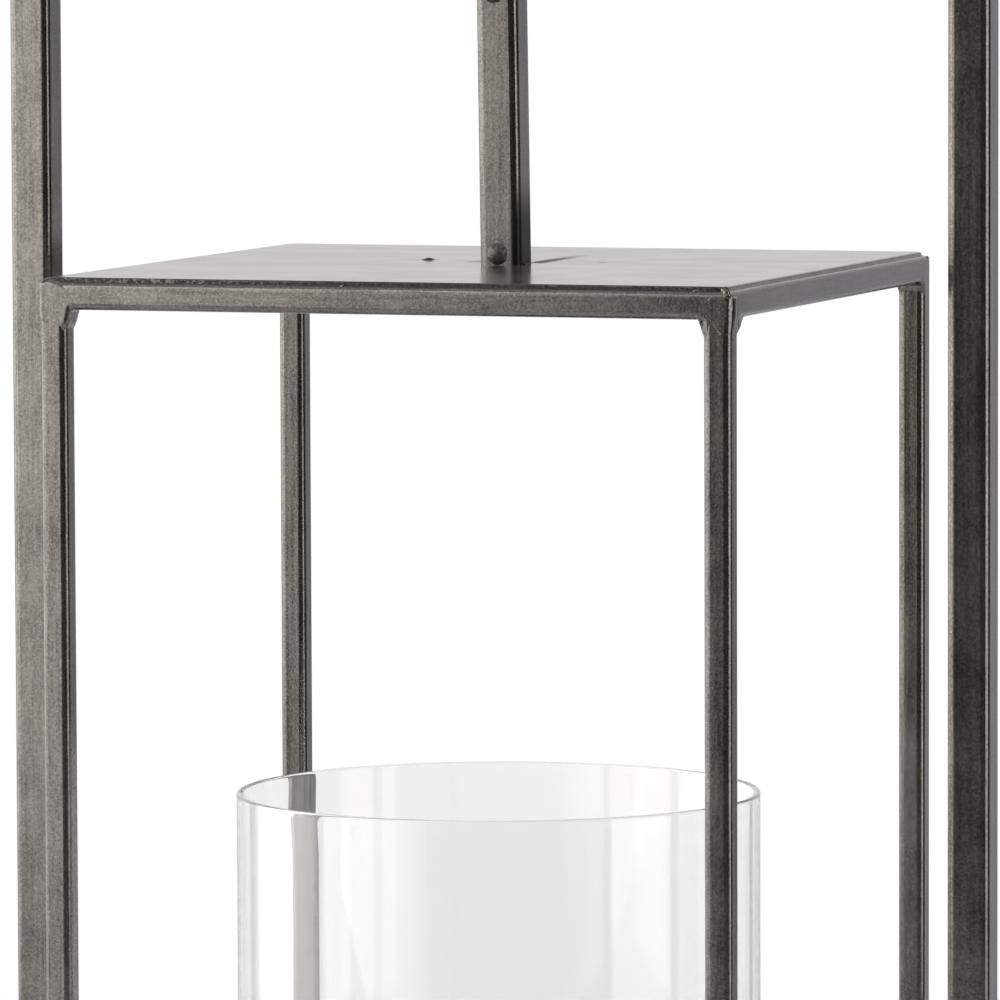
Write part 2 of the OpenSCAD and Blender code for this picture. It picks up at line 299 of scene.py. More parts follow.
def floor_material():
    """Pale matt floor that takes the object's shadow and fades to plain white further out."""
    material, tree = new_material("floor")
    place = tree.add("ShaderNodeTexCoord").outputs["Object"]
    length = tree.add("ShaderNodeVectorMath", operation="LENGTH")
    tree.feed(length.inputs[0], place)
    fade = tree.remap(length.outputs["Value"], *FLOOR_FADE, smooth=True)
    matt = tree.add("ShaderNodeBsdfDiffuse")
    tree.feed(matt.inputs["Color"], grey(FLOOR_GREY))
    white = tree.add("ShaderNodeEmission")
    tree.feed(white.inputs["Color"], (1, 1, 1, 1))
    blend = tree.add("ShaderNodeMixShader")
    tree.feed(blend.inputs[0], fade)
    tree.feed(blend.inputs[1], matt.outputs[0])
    tree.feed(blend.inputs[2], white.outputs[0])
    tree.surface(blend.outputs[0])
    return material


def add_floor():
    segments = 96
    ring = [
        (FLOOR_RADIUS * math.cos(a), FLOOR_RADIUS * math.sin(a), 0.0)
        for a in (2 * math.pi * i / segments for i in range(segments))
    ]
    mesh = bpy.data.meshes.new("floor")
    mesh.from_pydata(ring, [], [list(range(segments))])
    mesh.materials.append(floor_material())
    floor = bpy.data.objects.new("floor", mesh)
    bpy.context.scene.collection.objects.link(floor)


# ---- materials ----

# how textures are stretched along a tube that runs this way
UPRIGHT = (1.0, 1.0, 0.045)
ALONG_X = (0.045, 1.0, 1.0)
ALONG_Y = (1.0, 0.045, 1.0)
# how dark, how light and how rough the lacquer on the tubes is
TUBE_DARK, TUBE_LIGHT = 0.050, 0.162
TUBE_ROUGH = (0.14, 0.21)
# painted shade on the hanger's right side just above the top plate: from this x on, full up to
# the first height and gone at the second, in metres
HANGER_PAINTED_SHADE = (0.0075, 0.548, 0.570)


def bronze(name, along, painted_shade=None):
    """Antique bronze lacquer on drawn steel tube: metallic grain over long, faint drawn waves."""
    material, tree = new_material(name)
    place = tree.place()
    waves = tree.noise(tree.place(along), 170.0, 1.0, 0.5)
    streaks = tree.noise(tree.place(along), 900.0, 2.0, 0.6)
    sand = tree.noise(place, 900.0, 3.0, 0.7)
    flakes = tree.remap(tree.noise(place, 2300.0, 1.0), 0.55, 0.75, smooth=True)
    clouds = tree.noise(place, 45.0, 3.0, 0.55)
    shade = tree.weigh((streaks, 0.25), (sand, 0.50), (clouds, 0.25))
    lacquer = tree.ramp(
        shade,
        [
            (0.36, grey(TUBE_DARK, 1.05, 0.96)),
            (0.50, grey((TUBE_DARK + TUBE_LIGHT) / 2, 1.04, 0.96)),
            (0.64, grey(TUBE_LIGHT, 1.03, 0.96)),
        ],
    )
    colour = tree.mix(tree.maths("MULTIPLY", flakes, 0.45), lacquer, grey(0.30, 1.03, 0.94))
    roughness = tree.remap(tree.maths("ADD", sand, clouds), 0.7, 1.3, *TUBE_ROUGH)
    # painted shade: the hanger's right side turns darker and duller near the plate it stands on
    if painted_shade:
        edge, full, clear = painted_shade
        parts = tree.split(place)
        aside = tree.remap(parts["X"], edge, edge + 0.0025, smooth=True)
        mark = tree.maths("MULTIPLY", aside, tree.remap(parts["Z"], clear, full, smooth=True))
        colour = tree.mix(mark, colour, grey(0.02, 1.03, 0.96))
        roughness = tree.maths("ADD", roughness, tree.maths("MULTIPLY", mark, 0.26))
    normal = tree.bump(waves, 0.00012, 1.0)
    normal = tree.bump(streaks, 0.00001, 1.0, normal)
    normal = tree.bump(sand, 0.000028, 1.0, normal)
    shader = tree.principled(
        Base_Color=colour, Roughness=roughness, Metallic=0.86, Normal=normal, IOR=1.5
    )
    tree.surface(shader)
    return material


# dull marks that the welding left on the top sheet, in metres
HEAT_MARKS = (
    # middle x, half width, near y, far y, added roughness
    (0.0120, 0.0045, 0.007, 0.078, 0.40),
    (-0.0100, 0.0080, 0.007, 0.045, 0.12),
)


def plate_finish(name, marks):
    """The same lacquer on flat sheet: smoother and glossier, with faint cloudy wear."""
    material, tree = new_material(name)
    place = tree.place()
    sand = tree.noise(place, 1100.0, 2.0, 0.6)
    clouds = tree.noise(place, 28.0, 4.0, 0.6)
    shade = tree.weigh((clouds, 0.7), (sand, 0.3))
    colour = tree.ramp(
        shade, [(0.35, grey(0.030, 1.06, 0.95)), (0.65, grey(0.062, 1.05, 0.94))]
    )
    roughness = tree.remap(clouds, 0.35, 0.65, 0.165, 0.195)
    parts = tree.split(place)
    for middle, half, start, end, dulling in marks:
        aside = tree.maths("ABSOLUTE", tree.maths("SUBTRACT", parts["X"], middle))
        within = tree.remap(aside, half, half * 0.3, smooth=True)
        near = tree.remap(parts["Y"], start, start + 0.003, smooth=True)
        far = tree.remap(parts["Y"], end, start + 0.010, smooth=True)
        mark = tree.maths("MULTIPLY", within, tree.maths("MULTIPLY", near, far))
        roughness = tree.maths("ADD", roughness, tree.maths("MULTIPLY", mark, dulling))
    normal = tree.bump(sand, 0.000012, 0.5)
    tree.surface(
        tree.principled(Base_Color=colour, Roughness=roughness, Normal=normal, IOR=1.5)
    )
    return material


def weld_finish():
    """Weld metal under the lacquer: darker and rougher, with bright specks painted on towards the lit
    left side as painted highlights.
    """
    material, tree = new_material("weld")
    place = tree.place()
    lumps = tree.noise(place, 700.0, 3.0, 0.6)
    sand = tree.noise(place, 2200.0, 2.0, 0.6)
    specks = tree.remap(tree.noise(place, 560.0, 2.0, 0.7), 0.50, 0.62, smooth=True)
    parts = tree.split(place)
    # painted highlights: bright specks only towards the left, where the front-left lamp falls
    painted_glints = tree.maths("MULTIPLY", specks, tree.remap(parts["X"], -0.01, -0.09, smooth=True))
    dark = tree.ramp(
        lumps, [(0.35, grey(0.009, 1.05, 1.05)), (0.62, grey(0.022, 1.05, 1.0)), (0.8, grey(0.06))]
    )
    colour = tree.mix(painted_glints, dark, grey(0.15, 1.03, 0.95))
    roughness = tree.remap(sand, 0.3, 0.7, 0.26, 0.42)
    normal = tree.bump(lumps, 0.00015, 0.6)
    tree.surface(
        tree.principled(Base_Color=colour, Roughness=roughness, Normal=normal, IOR=1.33)
    )
    return material


def rivet_finish():
    """Hammered steel, lacquered darker and duller than the tubes."""
    material, tree = new_material("rivet")
    place = tree.place()
    dents = tree.noise(place, 900.0, 3.0, 0.6)
    colour = tree.ramp(dents, [(0.35, grey(0.030, 1.08, 0.93)), (0.65, grey(0.080, 1.06, 0.93))])
    normal = tree.bump(dents, 0.00008, 0.6)
    roughness = tree.remap(dents, 0.3, 0.7, 0.28, 0.4)
    tree.surface(
        tree.principled(Base_Color=colour, Roughness=roughness, Normal=normal, IOR=1.5)
    )
    return material


def glide_finish():
    """Matt black moulded plastic."""
    material, tree = new_material("glide_plastic")
    sand = tree.noise(tree.place(), 2400.0, 2.0)
    colour = tree.ramp(sand, [(0.3, grey(0.016)), (0.7, grey(0.026))])
    roughness = tree.remap(sand, 0.3, 0.7, 0.5, 0.62)
    normal = tree.bump(sand, 0.00004, 0.5)
    tree.surface(tree.principled(Base_Color=colour, Roughness=roughness, Normal=normal, IOR=1.46))
    return material


def glass_finish():
    """Clear glass with a slight haze, a little uneven, that veils what is behind it."""
    material, tree = new_material("clear_glass")
    haze = tree.noise(tree.place((1.0, 1.0, 0.2)), 22.0, 2.0)
    colour = tree.ramp(haze, [(0.3, (0.930, 0.940, 0.955, 1)), (0.7, (0.945, 0.955, 0.965, 1))])
    tree.surface(
        tree.principled(
            Base_Color=colour, Roughness=0.0, IOR=1.38, Transmission_Weight=0.91,
        )
    )
    return material


def wax_finish():
    """Ivory paraffin wax: soft, slightly mottled, waxy sheen."""
    material, tree = new_material("wax")
    place = tree.place()
    mottle = tree.noise(place, 60.0, 4.0, 0.6)
    fine = tree.noise(place, 900.0, 2.0)
    colour = tree.ramp(
        mottle, [(0.3, (0.80, 0.74, 0.61, 1)), (0.7, (0.87, 0.82, 0.71, 1))]
    )
    roughness = tree.remap(mottle, 0.3, 0.7, 0.42, 0.56)
    normal = tree.bump(fine, 0.00004, 0.4)
    tree.surface(
        tree.principled(
            Base_Color=colour, Roughness=roughness, Normal=normal, IOR=1.44,
            Subsurface_Weight=0.35, Subsurface_Radius=(0.012, 0.008, 0.005), Subsurface_Scale=0.4,
        )
    )
    return material


def wick_finish():
    """Waxed cotton, charred towards its tip."""
    material, tree = new_material("wick")
    place = tree.place()
    parts = tree.split(place)
    charred = tree.remap(
        parts["Z"], (WICK_HIGH[2] - 8) * MM, (WICK_HIGH[2] - 3) * MM, smooth=True
    )
    fibre = tree.noise(place, 2600.0, 3.0, 0.7)
    cotton = tree.ramp(fibre, [(0.3, (0.62, 0.56, 0.45, 1)), (0.7, (0.78, 0.73, 0.62, 1))])
    soot = tree.ramp(fibre, [(0.3, grey(0.010)), (0.7, grey(0.035))])
    normal = tree.bump(fibre, 0.0001, 0.8)
    tree.surface(
        tree.principled(Base_Color=tree.mix(charred, cotton, soot), Roughness=0.9, Normal=normal)
    )
    return material


# ---- meshes ----


def add_piece(name, vertices, faces, material, body, replaced=()):
    """A smooth-shaded mesh with its vertices in millimetres, riding on a body."""
    mesh = bpy.data.meshes.new(name)
    mesh.from_pydata((np.asarray(vertices) * MM).tolist(), [], faces)
    mesh.polygons.foreach_set("use_smooth", [True] * len(mesh.polygons))
    mesh.materials.append(material)
    mesh.update()
    piece = bpy.data.objects.new(name, mesh)
    bpy.context.scene.collection.objects.link(piece)
    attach(piece, body)
    if replaced:
        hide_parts(*replaced)
    return piece


def ripple(points, size, seed, waves=12):
    """Smooth noise of about -1 to 1 at each point, with features of this size."""
    rng = np.random.default_rng(seed)
    ways = rng.normal(size=(waves, 3))
    ways /= np.linalg.norm(ways, axis=1)[:, None]
    lengths = size * rng.uniform(0.7, 1.7, waves)
    phases = rng.uniform(0, 2 * np.pi, waves)
    turns = points @ (ways / lengths[:, None]).T * 2 * np.pi + phases
    return np.cos(turns).sum(1) / math.sqrt(waves)


def smooth_step(value, low, high):
    """0 up to low, 1 from high on, and an even bend between them."""
    share = np.clip((value - low) / (high - low), 0, 1)
    return share * share * (3 - 2 * share)


def smooth_union(first, second, reach):
    """Union of two distance fields, with a fillet of about this reach where they meet."""
    near = np.maximum(reach - np.abs(first - second), 0) / reach
    return np.minimum(first, second) - near * near * reach / 4


def bar(points, axis, centre, half, edge):
    """Distance to an endless square bar along an axis, with rounded long edges."""
    across = [i for i in range(3) if i != axis]
    past = np.abs(points[:, across] - centre) - (half - edge)
    return np.hypot(*np.maximum(past, 0).T) + np.minimum(past.max(1), 0) - edge


def gradient(distance, points, step=0.01):
    """Slope of a distance field at each point."""
    slopes = np.empty_like(points)
    for axis in range(3):
        shift = np.zeros(3)
        shift[axis] = step
        slopes[:, axis] = (distance(points + shift) - distance(points - shift)) / (2 * step)
    return slopes


def net(distance, low, high, step):
    """Vertices and quads of the surface where a distance field is zero, between two corners."""
    axes = [np.arange(a, b + step, step) for a, b in zip(low, high)]
    nodes = np.stack(np.meshgrid(*axes, indexing="ij"), -1)
    value = distance(nodes.reshape(-1, 3)).reshape(nodes.shape[:3])
    inside = value < 0
    cells = tuple(n - 1 for n in value.shape)
    total, count, crossings = np.zeros(cells + (3,)), np.zeros(cells), []
    for axis in range(3):
        first = tuple(slice(0, -1) if i == axis else slice(None) for i in range(3))
        second = tuple(slice(1, None) if i == axis else slice(None) for i in range(3))
        crossing = inside[first] != inside[second]
        drop = np.where(crossing, value[first] - value[second], 1.0)
        place = nodes[first].copy()
        place[..., axis] += step * value[first] / drop
        b, c = (axis + 1) % 3, (axis + 2) % 3
        for db, dc in ((0, 0), (0, 1), (1, 0), (1, 1)):
            part = [slice(None)] * 3
            part[b] = slice(db, cells[b] + db)
            part[c] = slice(dc, cells[c] + dc)
            part = tuple(part)
            total += place[part] * crossing[part][..., None]
            count += crossing[part]
        crossings.append((crossing, inside[first]))
    used = count > 0
    index = np.full(cells, -1)
    index[used] = np.arange(used.sum())
    vertices = total[used] / count[used][:, None]
    quads = []
    for axis, (crossing, outward) in enumerate(crossings):
        b, c = (axis + 1) % 3, (axis + 2) % 3
        inner = [slice(None)] * 3
        inner[b] = slice(1, cells[b])
        inner[c] = slice(1, cells[c])
        inner = tuple(inner)
        found = np.array(np.nonzero(crossing[inner])).T
        found[:, b] += 1
        found[:, c] += 1
        corners = []
        for db, dc in ((1, 1), (0, 1), (0, 0), (1, 0)):
            cell = found.copy()
            cell[:, b] -= db
            cell[:, c] -= dc
            corners.append(index[tuple(cell.T)])
        ring = np.stack(corners, 1)
        flip = ~outward[tuple(found.T)]
        ring[flip] = ring[flip][:, ::-1]
        quads.append(ring)
    # a few Newton steps bring the vertices onto the surface
    for _ in range(3):
        slope = gradient(distance, vertices)
        steepness = np.maximum((slope**2).sum(1), 0.2)
        move = (distance(vertices) / steepness)[:, None] * slope
        length = np.linalg.norm(move, axis=1)[:, None]
        vertices = vertices - move * np.minimum(1, step / 2 / np.maximum(length, 1e-9))
    return vertices, np.concatenate(quads).tolist()


def lathe(profile, segments, closed=True):
    """A surface of revolution about the z axis from (radius, height) points, ends joined if closed."""
    turn = np.linspace(0, 2 * np.pi, segments, endpoint=False)
    profile = np.asarray(profile, float)
    rings = np.stack(
        [
            profile[:, None, 0] * np.cos(turn),
            profile[:, None, 0] * np.sin(turn),
            np.repeat(profile[:, 1:], segments, 1),
        ],
        -1,
    )
    rows = len(profile)
    faces = []
    for i in range(rows if closed else rows - 1):
        j = (i + 1) % rows
        for k in range(segments):
            m = (k + 1) % segments
            faces.append([i * segments + k, i * segments + m, j * segments + m, j * segments + k])
    return rings.reshape(-1, 3), faces


# ---- weld skins on the cage's corners ----

# how far a skin stands out over the tubes and over their ground sides, and how far it sinks from
# there towards its ends
SKIN, GROUND_SKIN, SINK = 0.04, 0.03, 0.16
# how far inside its grid a skin is cut off, so that it closes
MARGIN = 0.8


def fillet_wedge(points, axis, run, drop, up=-1, level=RAIL_BOTTOM):
    """A chamfer between a post's inner face and a rail along the axis, in one corner's own signs."""
    across = 1 - axis
    inner = HALF_CAGE - CAGE_TUBE
    slope = math.hypot(run, drop)
    along = inner - points[:, axis]
    height = up * (points[:, 2] - level)
    face = (along * drop + height * run - run * drop) / slope
    width = np.abs(points[:, across] - POST_PLACE) - (CAGE_TUBE / 2 - 0.3)
    return np.maximum.reduce([face, width, -along - CAGE_TUBE / 2, -height - CAGE_TUBE / 2])


def rounded_box(points, low, high, edge):
    """Distance to a box between two corners, with all its edges rounded."""
    low, high = np.array(low), np.array(high)
    past = np.abs(points - (low + high) / 2) - ((high - low) / 2 - edge)
    return np.linalg.norm(np.maximum(past, 0), axis=1) + np.minimum(past.max(1), 0) - edge


def grid_ends(side, past, reach):
    """Where a corner's grid begins and ends along x or y: past the cage's side and reach inside it."""
    return sorted((side * (HALF_CAGE + past), side * (HALF_CAGE - reach)))


def beyond(points, side_x, side_y, reach):
    """Distance past the two upright planes that cut a corner's skin off inside the cage."""
    inner = np.minimum(points[:, 0] * side_x, points[:, 1] * side_y)
    return HALF_CAGE - reach + MARGIN - inner


def drip(points):
    """A run of weld down a corner's outer edge, broad at its head and gone 19 mm below the rail's top."""
    share = smooth_step(points[:, 2], RAIL_TOP - 19, RAIL_TOP - 5)
    place = HALF_CAGE - CAGE_EDGE - 1.5 * share
    run = np.hypot(points[:, 0] - place, points[:, 1] - place) - (CAGE_EDGE + 2.6 * share)
    run += 0.25 * (1 - smooth_step(points[:, 2], RAIL_TOP - 18, RAIL_TOP - 12))
    return np.maximum.reduce([run, points[:, 1] - HALF_CAGE, points[:, 2] - RAIL_TOP + 2.5])


def top_corner(side_x, side_y, seed, fillets, pillow, has_drip, beads):
    """Distance field of the weld on one top corner of the cage, in millimetres.

    The fillets under the rails along x and y are given by their run and drop. The pillow is how far a
    rounded block of weld stands out sideways and over the rail, if any; it slopes down to the rail.
    """
    signs = np.array([side_x, side_y, 1.0])
    rail_level = (RAIL_BOTTOM + RAIL_TOP) / 2
    half = CAGE_TUBE / 2
    middle = RAIL_TOP - HALF_CAGE

    def distance(points):
        p = points * signs
        post = np.maximum(bar(p, 2, (POST_PLACE, POST_PLACE), half, CAGE_EDGE), p[:, 2] - RAIL_TOP)
        along_x = np.maximum(bar(p, 0, (POST_PLACE, rail_level), half, CAGE_EDGE), p[:, 0] - HALF_CAGE)
        along_y = np.maximum(bar(p, 1, (POST_PLACE, rail_level), half, CAGE_EDGE), p[:, 1] - HALF_CAGE)
        solid = smooth_union(post, along_x, 1.2)
        solid = smooth_union(solid, along_y, 1.2)
        solid = smooth_union(solid, fillet_wedge(p, 0, *fillets[0]), 0.9)
        solid = smooth_union(solid, fillet_wedge(p, 1, *fillets[1]), 0.9)
        from_corner = np.maximum.reduce([HALF_CAGE - p[:, 0], HALF_CAGE - p[:, 1], RAIL_TOP - p[:, 2]])
        fade = smooth_step(from_corner, 9, 19)
        rough = 0.07 * ripple(points, 5.0, seed) + 0.03 * ripple(points, 1.6, seed + 1)
        solid = solid - SKIN + SINK * fade - rough * (1 - fade)
        outer = np.maximum.reduce(
            [
                bar(p, 2, (0, 0), HALF_CAGE, CAGE_EDGE),
                bar(p, 0, (0, middle), HALF_CAGE, GROUND_CORNER),
                bar(p, 1, (0, middle), HALF_CAGE, GROUND_CORNER),
            ]
        )
        solid = np.maximum(solid, outer - GROUND_SKIN + SINK * fade)
        if pillow:
            sideways, over = pillow
            low = (HALF_CAGE - 11, HALF_CAGE - 11, RAIL_TOP - 15)
            high = (HALF_CAGE + sideways, HALF_CAGE, RAIL_TOP + over)
            sloped = p.copy()
            sloped[:, 2] += (over + 1.4) * smooth_step(HALF_CAGE - p[:, :2].min(1), 3.5, 11.0)
            solid = smooth_union(solid, rounded_box(sloped, low, high, 3.4) - rough, 2.4)
        if has_drip:
            solid = smooth_union(solid, drip(p) - 0.5 * rough, 0.8)
        for x, y, z, radius in beads:
            bead = np.linalg.norm(p - (x, y, z), axis=1) - radius
            solid = smooth_union(solid, bead, 0.5)
        sunk = 0.2 * smooth_step(from_corner, 13, 18.5)
        return np.maximum(solid + sunk, p[:, 1] - HALF_CAGE - GROUND_SKIN)

    return distance


def add_top_corners(material):
    """Weld skins on the cage's four top corners, each built up and ground in its own way."""
    front_right_beads = (
        # x, y, z, radius
        (131.9, 132.3, 529.9, 1.35),
        (133.0, 131.7, 528.3, 1.15),
        (132.4, 132.5, 526.9, 0.95),
        (130.4, 131.7, 530.9, 0.9),
    )
    back_right_beads = ((132.4, 132.0, 529.4, 0.9),)
    corners = (
        # name, sides in x and y, seed, fillets along x and y, pillow, drip, beads
        ("front_left", -1, -1, 11, ((2.0, 5.4), (4.4, 5.0)), (0.3, 1.3), False, ()),
        ("front_right", 1, -1, 23, ((1.6, 5.4), (8.5, 5.4)), None, True, front_right_beads),
        ("back_left", -1, 1, 35, ((1.6, 3.0), (2.0, 3.0)), (0.0, 0.9), False, ()),
        ("back_right", 1, 1, 47, ((0.9, 1.6), (0.9, 1.6)), None, False, back_right_beads),
    )
    reach = 20.5
    # these skins carry the corners' fillets too, so they stand in for the CAD ones
    replaced = ["corner_weld_fillets"]
    for name, side_x, side_y, seed, fillets, pillow, has_drip, beads in corners:
        field = top_corner(side_x, side_y, seed, fillets, pillow, has_drip, beads)

        def capped(points, field=field, side_x=side_x, side_y=side_y):
            below = RAIL_TOP - reach + MARGIN - points[:, 2]
            return np.maximum.reduce([field(points), beyond(points, side_x, side_y, reach), below])

        ends_x, ends_y = grid_ends(side_x, 1.6, reach), grid_ends(side_y, 1, reach)
        low = (ends_x[0], ends_y[0], RAIL_TOP - reach)
        high = (ends_x[1], ends_y[1], RAIL_TOP + 3)
        vertices, faces = net(capped, low, high, step=0.42)
        add_piece(f"corner_weld_{name}", vertices, faces, material, "lantern", replaced)
        replaced = ()


# ---- base corners, seams and small welds ----


def base_corner(side_x, side_y, seed):
    """Distance field of the weld where two bottom rails meet a post, in millimetres."""
    signs = np.array([side_x, side_y, 1.0])
    rail_level = (BASE_RAIL_BOTTOM + BASE_RAIL_TOP) / 2
    half = CAGE_TUBE / 2

    def distance(points):
        p = points * signs
        post = bar(p, 2, (POST_PLACE, POST_PLACE), half, CAGE_EDGE)
        along_x = np.maximum(bar(p, 0, (POST_PLACE, rail_level), half, CAGE_EDGE), p[:, 0] - POST_PLACE)
        along_y = np.maximum(bar(p, 1, (POST_PLACE, rail_level), half, CAGE_EDGE), p[:, 1] - POST_PLACE)
        solid = smooth_union(smooth_union(post, along_x, 3.0), along_y, 3.0)
        solid = smooth_union(solid, fillet_wedge(p, 0, 2.0, 4.8, -1, BASE_RAIL_BOTTOM), 1.4)
        solid = smooth_union(solid, fillet_wedge(p, 1, 6.0, 4.8, -1, BASE_RAIL_BOTTOM), 1.8)
        reach = np.maximum(HALF_CAGE - p[:, :2].min(1), np.abs(p[:, 2] - rail_level) + half)
        fade = smooth_step(reach, 11, 17)
        rough = 0.06 * ripple(points, 4.0, seed) + 0.03 * ripple(points, 1.6, seed + 1)
        solid = solid - SKIN + SINK * fade - rough * (1 - fade)
        outer = bar(p, 2, (0, 0), HALF_CAGE, CAGE_EDGE)
        return np.maximum(solid, outer - GROUND_SKIN + SINK * fade)

    return distance


def add_base_corners(material):
    """Weld skins on the cage's four bottom corners."""
    reach, rise = 18.0, 15.0
    level = (BASE_RAIL_BOTTOM + BASE_RAIL_TOP) / 2
    corners = (
        # name, sides in x and y, seed
        ("front_left", -1, -1, 61), ("front_right", 1, -1, 73),
        ("back_left", -1, 1, 85), ("back_right", 1, 1, 97),
    )
    for name, side_x, side_y, seed in corners:
        field = base_corner(side_x, side_y, seed)

        def capped(points, field=field, side_x=side_x, side_y=side_y):
            away = np.abs(points[:, 2] - level) - rise
            return np.maximum.reduce([field(points), beyond(points, side_x, side_y, reach), away])

        ends_x, ends_y = grid_ends(side_x, 1, reach), grid_ends(side_y, 1, reach)
        low = (ends_x[0], ends_y[0], level - (rise + 1))
        high = (ends_x[1], ends_y[1], level + (rise + 1))
        vertices, faces = net(capped, low, high, step=0.5)
        add_piece(f"base_weld_{name}", vertices, faces, material, "lantern")


def seam(points, axis, side, seed, lumps):
    """Distance to the weld and lacquer that fill the angle between one edge of the plate and its rail."""
    edge, level = PLATE_HIGH[0], PLATE_LOW[2]
    half = (PLATE_HIGH[2] - level) / 2
    across, height = points[:, 1 - axis] * side, points[:, 2]
    over, above = across - edge, np.abs(height - level - half) - half
    plate = np.hypot(np.maximum(over, 0), np.maximum(above, 0)) + np.minimum(np.maximum(over, above), 0)
    centre = (side * POST_PLACE, (RAIL_BOTTOM + RAIL_TOP) / 2)
    rail = bar(points, axis, centre, CAGE_TUBE / 2, CAGE_EDGE)
    rough = lumps * (ripple(points, 2.6, seed) + 0.8 * ripple(points, 1.1, seed + 1))
    sunk = smooth_step(level - height, -0.2, 0.5)
    sunk += smooth_step(height, PLATE_HIGH[2] - 0.4, PLATE_HIGH[2] - 0.1)
    fill = smooth_union(plate, rail, 1.2) - 0.06 - rough * (1 - np.minimum(sunk, 1)) + 0.3 * sunk
    return np.maximum(fill, np.abs(points[:, axis]) - (edge - 3.0))


def add_seams(rough_finish, finish_x, finish_y):
    """The seams between the top plate's edges and the rails: rough at the front, neat elsewhere."""
    edge = PLATE_HIGH[0]
    seams = (
        # name, axis that it runs along, side, lumps, finish
        ("front", 0, -1, 0.055, rough_finish), ("back", 0, 1, 0.015, finish_x),
        ("left", 1, -1, 0.015, finish_y), ("right", 1, 1, 0.015, finish_y),
    )
    for seed, (name, axis, side, lumps, material) in enumerate(seams):
        low, high = np.zeros(3), np.zeros(3)
        low[axis], high[axis] = -edge, edge
        low[1 - axis], high[1 - axis] = sorted((side * (edge - 0.9), side * (edge + 1.8)))
        low[2], high[2] = PLATE_LOW[2] - 1.4, PLATE_HIGH[2] + 0.1

        def field(points, axis=axis, side=side, seed=200 + 10 * seed, lumps=lumps):
            return seam(points, axis, side, seed, lumps)

        vertices, faces = net(field, low, high, step=0.3)
        add_piece(f"plate_seam_{name}", vertices, faces, material, "lantern")


def add_spatter(material):
    """Small shiny beads of weld spatter that sit on the front seam."""
    # x, radius
    beads = ((120.0, 0.95), (-15.0, 0.85), (-61.0, 0.5), (-100.0, 0.6), (-84.0, 0.45), (-112.0, 0.5))
    front = -(PLATE_HIGH[0] + 0.45)

    def field(points):
        found = np.full(len(points), 9.0)
        for place, size in beads:
            reach = points - (place, front, PLATE_LOW[2] - 0.35)
            found = np.minimum(found, np.linalg.norm(reach * (0.8, 1.0, 1.1), axis=1) - size)
        return found - 0.06 * ripple(points, 1.3, 251)

    low = (-116.0, front - 1.6, PLATE_LOW[2] - 2.0)
    high = (124.0, front + 1.6, PLATE_LOW[2] + 1.4)
    vertices, faces = net(field, low, high, step=0.2)
    add_piece("seam_spatter", vertices, faces, material, "lantern")


def add_foot_tacks(material):
    """Small weld tacks that close the hanger's foot onto the top plate, at its left and right."""
    half = HOOP_TUBE / 2

    def field(points):
        lumps = 0.12 * ripple(points, 2.2, 311)
        tacks = np.full(len(points), 9.0)
        # side, half length, radius
        for side, reach, size in ((1, 3.8, 0.45), (-1, 2.7, 0.4)):
            past = np.abs(points[:, 1] - 0.8 * side)
            along = np.maximum(past - reach, 0)
            across = points[:, 0] - (HANGER_FOOT_X + side * (half + 0.1))
            tack = np.sqrt(along**2 + across**2 + (points[:, 2] - PLATE_HIGH[2]) ** 2) - size - lumps
            tacks = np.minimum(tacks, tack)
        return np.maximum(tacks, PLATE_HIGH[2] - 0.3 - points[:, 2])

    low = (HANGER_FOOT_X - half - 2.5, -6, PLATE_HIGH[2] - 0.8)
    high = (HANGER_FOOT_X + half + 2.5, 6, PLATE_HIGH[2] + 2.2)
    vertices, faces = net(field, low, high, step=0.25)
    add_piece("hanger_foot_tacks", vertices, faces, material, "lantern")


def add_plug_welds(weld, plate):
    """The two plug welds on the top plate, in place of the CAD ones: rough left, ground flush right."""
    plugs = (
        # name, x, radius, height, lumps, finish, CAD node that it stands in for
        ("plug_weld_left", -PLUG_WELD_X, 2.8, 0.75, 0.10, weld, ["top_plate_plug_welds"]),
        ("plug_weld_right", PLUG_WELD_X, 2.4, 0.16, 0.01, plate, ()),
    )
    for name, x, radius, height, lumps, material, replaced in plugs:
        sphere = (radius**2 + height**2) / (2 * height)
        centre = np.array([x, PLUG_WELD_Y, PLATE_HIGH[2] + height - sphere])

        def field(points, centre=centre, sphere=sphere, lumps=lumps):
            cap = np.linalg.norm(points - centre, axis=1) - sphere - lumps * ripple(points, 1.8, 341)
            return np.maximum(cap, PLATE_HIGH[2] - 0.3 - points[:, 2])

        reach = radius + 1.6
        low = (x - reach, PLUG_WELD_Y - reach, PLATE_HIGH[2] - 0.6)
        high = (x + reach, PLUG_WELD_Y + reach, PLATE_HIGH[2] + height + 0.5)
        vertices, faces = net(field, low, high, step=0.2)
        add_piece(name, vertices, faces, material, "lantern", replaced)


def add_rivets(material):
    """Rivets with hand-hammered domes, in place of the plain CAD ones."""
    for name, seed in (("hanger_lower_rivet", 401), ("hanger_upper_rivet", 433)):
        low, high = node_box(name)
        centre = (low + high) / 2 - (RIVET_SHIFT, 0, 0)
        face = HOOP_TUBE / 2
        radius = (high[2] - low[2]) / 2 + 0.1
        dome = high[1] - face
        sphere = (radius**2 + dome**2) / (2 * dome)

        def field(points, centre=centre, seed=seed):
            p = points - centre
            depth = np.abs(p[:, 1]) - face
            around = np.hypot(p[:, 0], p[:, 2])
            dents = 0.10 * ripple(points, 2.6, seed) + 0.07 * ripple(points, 1.1, seed + 1)
            head = np.hypot(around, depth + sphere - dome) - sphere - dents + 0.12
            head = np.maximum(head, -depth - 0.2)
            shank = np.maximum(around - 2.5, np.abs(p[:, 1]) - face)
            return np.minimum(head, shank)

        vertices, faces = net(field, low - (RIVET_SHIFT + 0.6, 0.6, 0.6), high + 0.6, step=0.25)
        add_piece(f"{name}_head", vertices, faces, material, "lantern", [name])


# ---- the top plate ----

